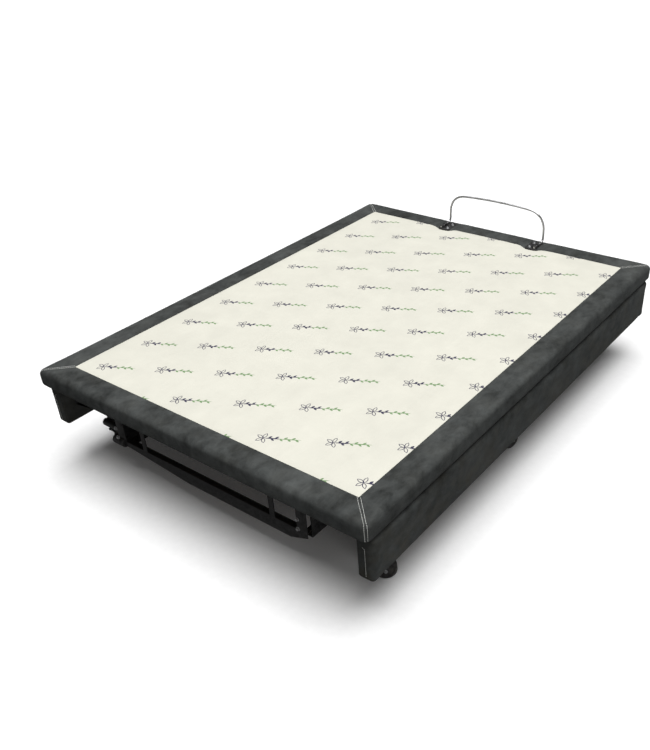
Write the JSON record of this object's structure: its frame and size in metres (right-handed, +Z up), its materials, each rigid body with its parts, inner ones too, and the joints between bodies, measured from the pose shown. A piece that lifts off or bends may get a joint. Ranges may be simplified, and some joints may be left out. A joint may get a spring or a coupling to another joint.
{
  "type": "adjustable bed base",
  "caption": "Motorised bed base with a padded four-section deck, upholstered side rails, steel chassis and lift arms, mattress retainer bar and swivel castors.",
  "frame": {"origin": "on the floor, under the middle of the deck", "axes": "+Z up, +Y to the foot end, +X to the right of someone at the head end who looks along the bed"},
  "size_m": [1.52, 2.03, 0.55],
  "materials": {
    "upholstery": "charcoal suede-like microfibre with a mottled nap",
    "deck_panel": "off-white non-woven panel with a small printed sprig",
    "thread": "pale topstitching thread",
    "plywood": "raw plywood",
    "black_steel": "black powder coat, worn bright on folded edges",
    "zinc": "zinc plate",
    "retainer_wire": "satin chrome",
    "black_plastic": "fine moulded texture",
    "spigot_plastic": "scuffed grey moulding",
    "wheel_tread": "satin black tread",
    "aluminium": "drawn tube, satin"
  },
  "bodies": {
    "base": {"seat_board": "plywood", "seat_pad": "upholstery", "head_hinge_carrying_leaf": "zinc", "head_hinge_pin": "zinc", "thigh_hinge_carrying_leaf": "zinc", "thigh_hinge_pin": "zinc", "left_rail_board": "plywood", "left_rail_cover": "upholstery", "right_rail_board": "plywood", "right_rail_cover": "upholstery", "foot_rail_board": "plywood", "foot_rail_cover": "upholstery", "left_chassis_channel": "black_steel", "right_chassis_channel": "black_steel", "head_end_frame": "black_steel", "foot_end_frame": "black_steel", "side_spigot": "black_steel", "spigot_cap": "spigot_plastic", "head_cross_beam": "black_steel", "middle_cross_beam": "black_steel", "foot_cross_beam": "black_steel", "head_motor_tube": "black_steel", "leg_motor_tube": "black_steel", "control_box": "black_plastic", "power_supply": "black_plastic", "head_actuator": "black_plastic", "leg_actuator": "black_plastic"},
    "head_section": {"head_board": "plywood", "head_pad": "upholstery", "head_hinge_moving_leaf": "zinc", "head_lift_arm": "black_steel"},
    "thigh_section": {"thigh_board": "plywood", "thigh_pad": "upholstery", "thigh_hinge_moving_leaf": "zinc", "knee_hinge_carrying_leaf": "zinc", "knee_hinge_pin": "zinc"},
    "foot_section": {"foot_board": "plywood", "foot_pad": "upholstery", "knee_hinge_moving_leaf": "zinc", "left_foot_bracket": "black_steel", "right_foot_bracket": "black_steel", "left_retainer_plate": "black_steel", "right_retainer_plate": "black_steel", "retainer_bar": "retainer_wire"},
    "leg_lift": {"leg_lift_frame": "black_steel"},
    "head_rod": {"head_actuator_rod": "aluminium"},
    "leg_rod": {"leg_actuator_rod": "aluminium"},
    "head_left_castor": {"head_left_castor_fork": "black_steel"},
    "head_left_wheel": {"head_left_castor_wheel": "wheel_tread"},
    "head_right_castor": {"head_right_castor_fork": "black_steel"},
    "head_right_wheel": {"head_right_castor_wheel": "wheel_tread"},
    "middle_left_castor": {"middle_left_castor_fork": "black_steel"},
    "middle_left_wheel": {"middle_left_castor_wheel": "wheel_tread"},
    "middle_right_castor": {"middle_right_castor_fork": "black_steel"},
    "middle_right_wheel": {"middle_right_castor_wheel": "wheel_tread"},
    "foot_left_castor": {"foot_left_castor_fork": "black_steel"},
    "foot_left_wheel": {"foot_left_castor_wheel": "wheel_tread"},
    "foot_right_castor": {"foot_right_castor_fork": "black_steel"},
    "foot_right_wheel": {"foot_right_castor_wheel": "wheel_tread"}
  },
  "joints": [
    {"name": "head_tilt", "type": "hinge", "parent": "base", "child": "head_section", "pos_m": [0, -0.255, 0.356], "axis": [-1, 0, 0], "range_deg": [0, 60]},
    {"name": "thigh_tilt", "type": "hinge", "parent": "base", "child": "thigh_section", "pos_m": [0, 0.025, 0.356], "axis": [1, 0, 0], "range_deg": [0, 35]},
    {"name": "knee_fold", "type": "hinge", "parent": "thigh_section", "child": "foot_section", "pos_m": [0, 0.405, 0.338], "axis": [1, 0, 0], "range_deg": [-35, 0]},
    {"name": "leg_lift_turn", "type": "hinge", "parent": "base", "child": "leg_lift", "pos_m": [0, 0.07, 0.3], "axis": [1, 0, 0], "range_deg": [0, 35]},
    {"name": "head_rod_slide", "type": "slide", "parent": "base", "child": "head_rod", "axis": [0, -1, 0], "range_m": [0, 0.15]},
    {"name": "leg_rod_slide", "type": "slide", "parent": "base", "child": "leg_rod", "axis": [0, 1, 0], "range_m": [0, 0.0542]},
    {"name": "head_left_castor_swivel", "type": "hinge", "parent": "base", "child": "head_left_castor", "pos_m": [-0.64, -0.83, 0.09], "axis": [0, 0, 1], "continuous": true},
    {"name": "head_left_wheel_spin", "type": "hinge", "parent": "head_left_castor", "child": "head_left_wheel", "pos_m": [-0.65183, -0.80462, 0.038], "axis": [0.9063, 0.4226, 0], "continuous": true},
    {"name": "head_right_castor_swivel", "type": "hinge", "parent": "base", "child": "head_right_castor", "pos_m": [0.64, -0.83, 0.09], "axis": [0, 0, 1], "continuous": true},
    {"name": "head_right_wheel_spin", "type": "hinge", "parent": "head_right_castor", "child": "head_right_wheel", "pos_m": [0.66176, -0.81238, 0.038], "axis": [0.6293, -0.7771, 0], "continuous": true},
    {"name": "middle_left_castor_swivel", "type": "hinge", "parent": "base", "child": "middle_left_castor", "pos_m": [-0.64, -0.016, 0.09], "axis": [0, 0, 1], "continuous": true},
    {"name": "middle_left_wheel_spin", "type": "hinge", "parent": "middle_left_castor", "child": "middle_left_wheel", "pos_m": [-0.62394, 0.00694, 0.038], "axis": [0.8192, -0.5736, 0], "continuous": true},
    {"name": "middle_right_castor_swivel", "type": "hinge", "parent": "base", "child": "middle_right_castor", "pos_m": [0.64, -0.016, 0.09], "axis": [0, 0, 1], "continuous": true},
    {"name": "middle_right_wheel_spin", "type": "hinge", "parent": "middle_right_castor", "child": "middle_right_wheel", "pos_m": [0.64582, 0.01139, 0.038], "axis": [0.9781, -0.2079, 0], "continuous": true},
    {"name": "foot_left_castor_swivel", "type": "hinge", "parent": "base", "child": "foot_left_castor", "pos_m": [-0.64, 0.798, 0.09], "axis": [0, 0, 1], "continuous": true},
    {"name": "foot_left_wheel_spin", "type": "hinge", "parent": "foot_left_castor", "child": "foot_left_wheel", "pos_m": [-0.66425, 0.812, 0.038], "axis": [0.5, 0.866, 0], "continuous": true},
    {"name": "foot_right_castor_swivel", "type": "hinge", "parent": "base", "child": "foot_right_castor", "pos_m": [0.64, 0.798, 0.09], "axis": [0, 0, 1], "continuous": true},
    {"name": "foot_right_wheel_spin", "type": "hinge", "parent": "foot_right_castor", "child": "foot_right_wheel", "pos_m": [0.62238, 0.81976, 0.038], "axis": [0.7771, 0.6293, 0], "continuous": true}
  ],
  "couplings": [
    {"joint": "head_rod_slide", "follows": "head_tilt", "m_per_rad": 0.14324},
    {"joint": "knee_fold", "follows": "thigh_tilt", "ratio": -1},
    {"joint": "leg_lift_turn", "follows": "thigh_tilt", "ratio": 1},
    {"joint": "leg_rod_slide", "follows": "thigh_tilt", "m_per_rad": 0.088607}
  ]
}
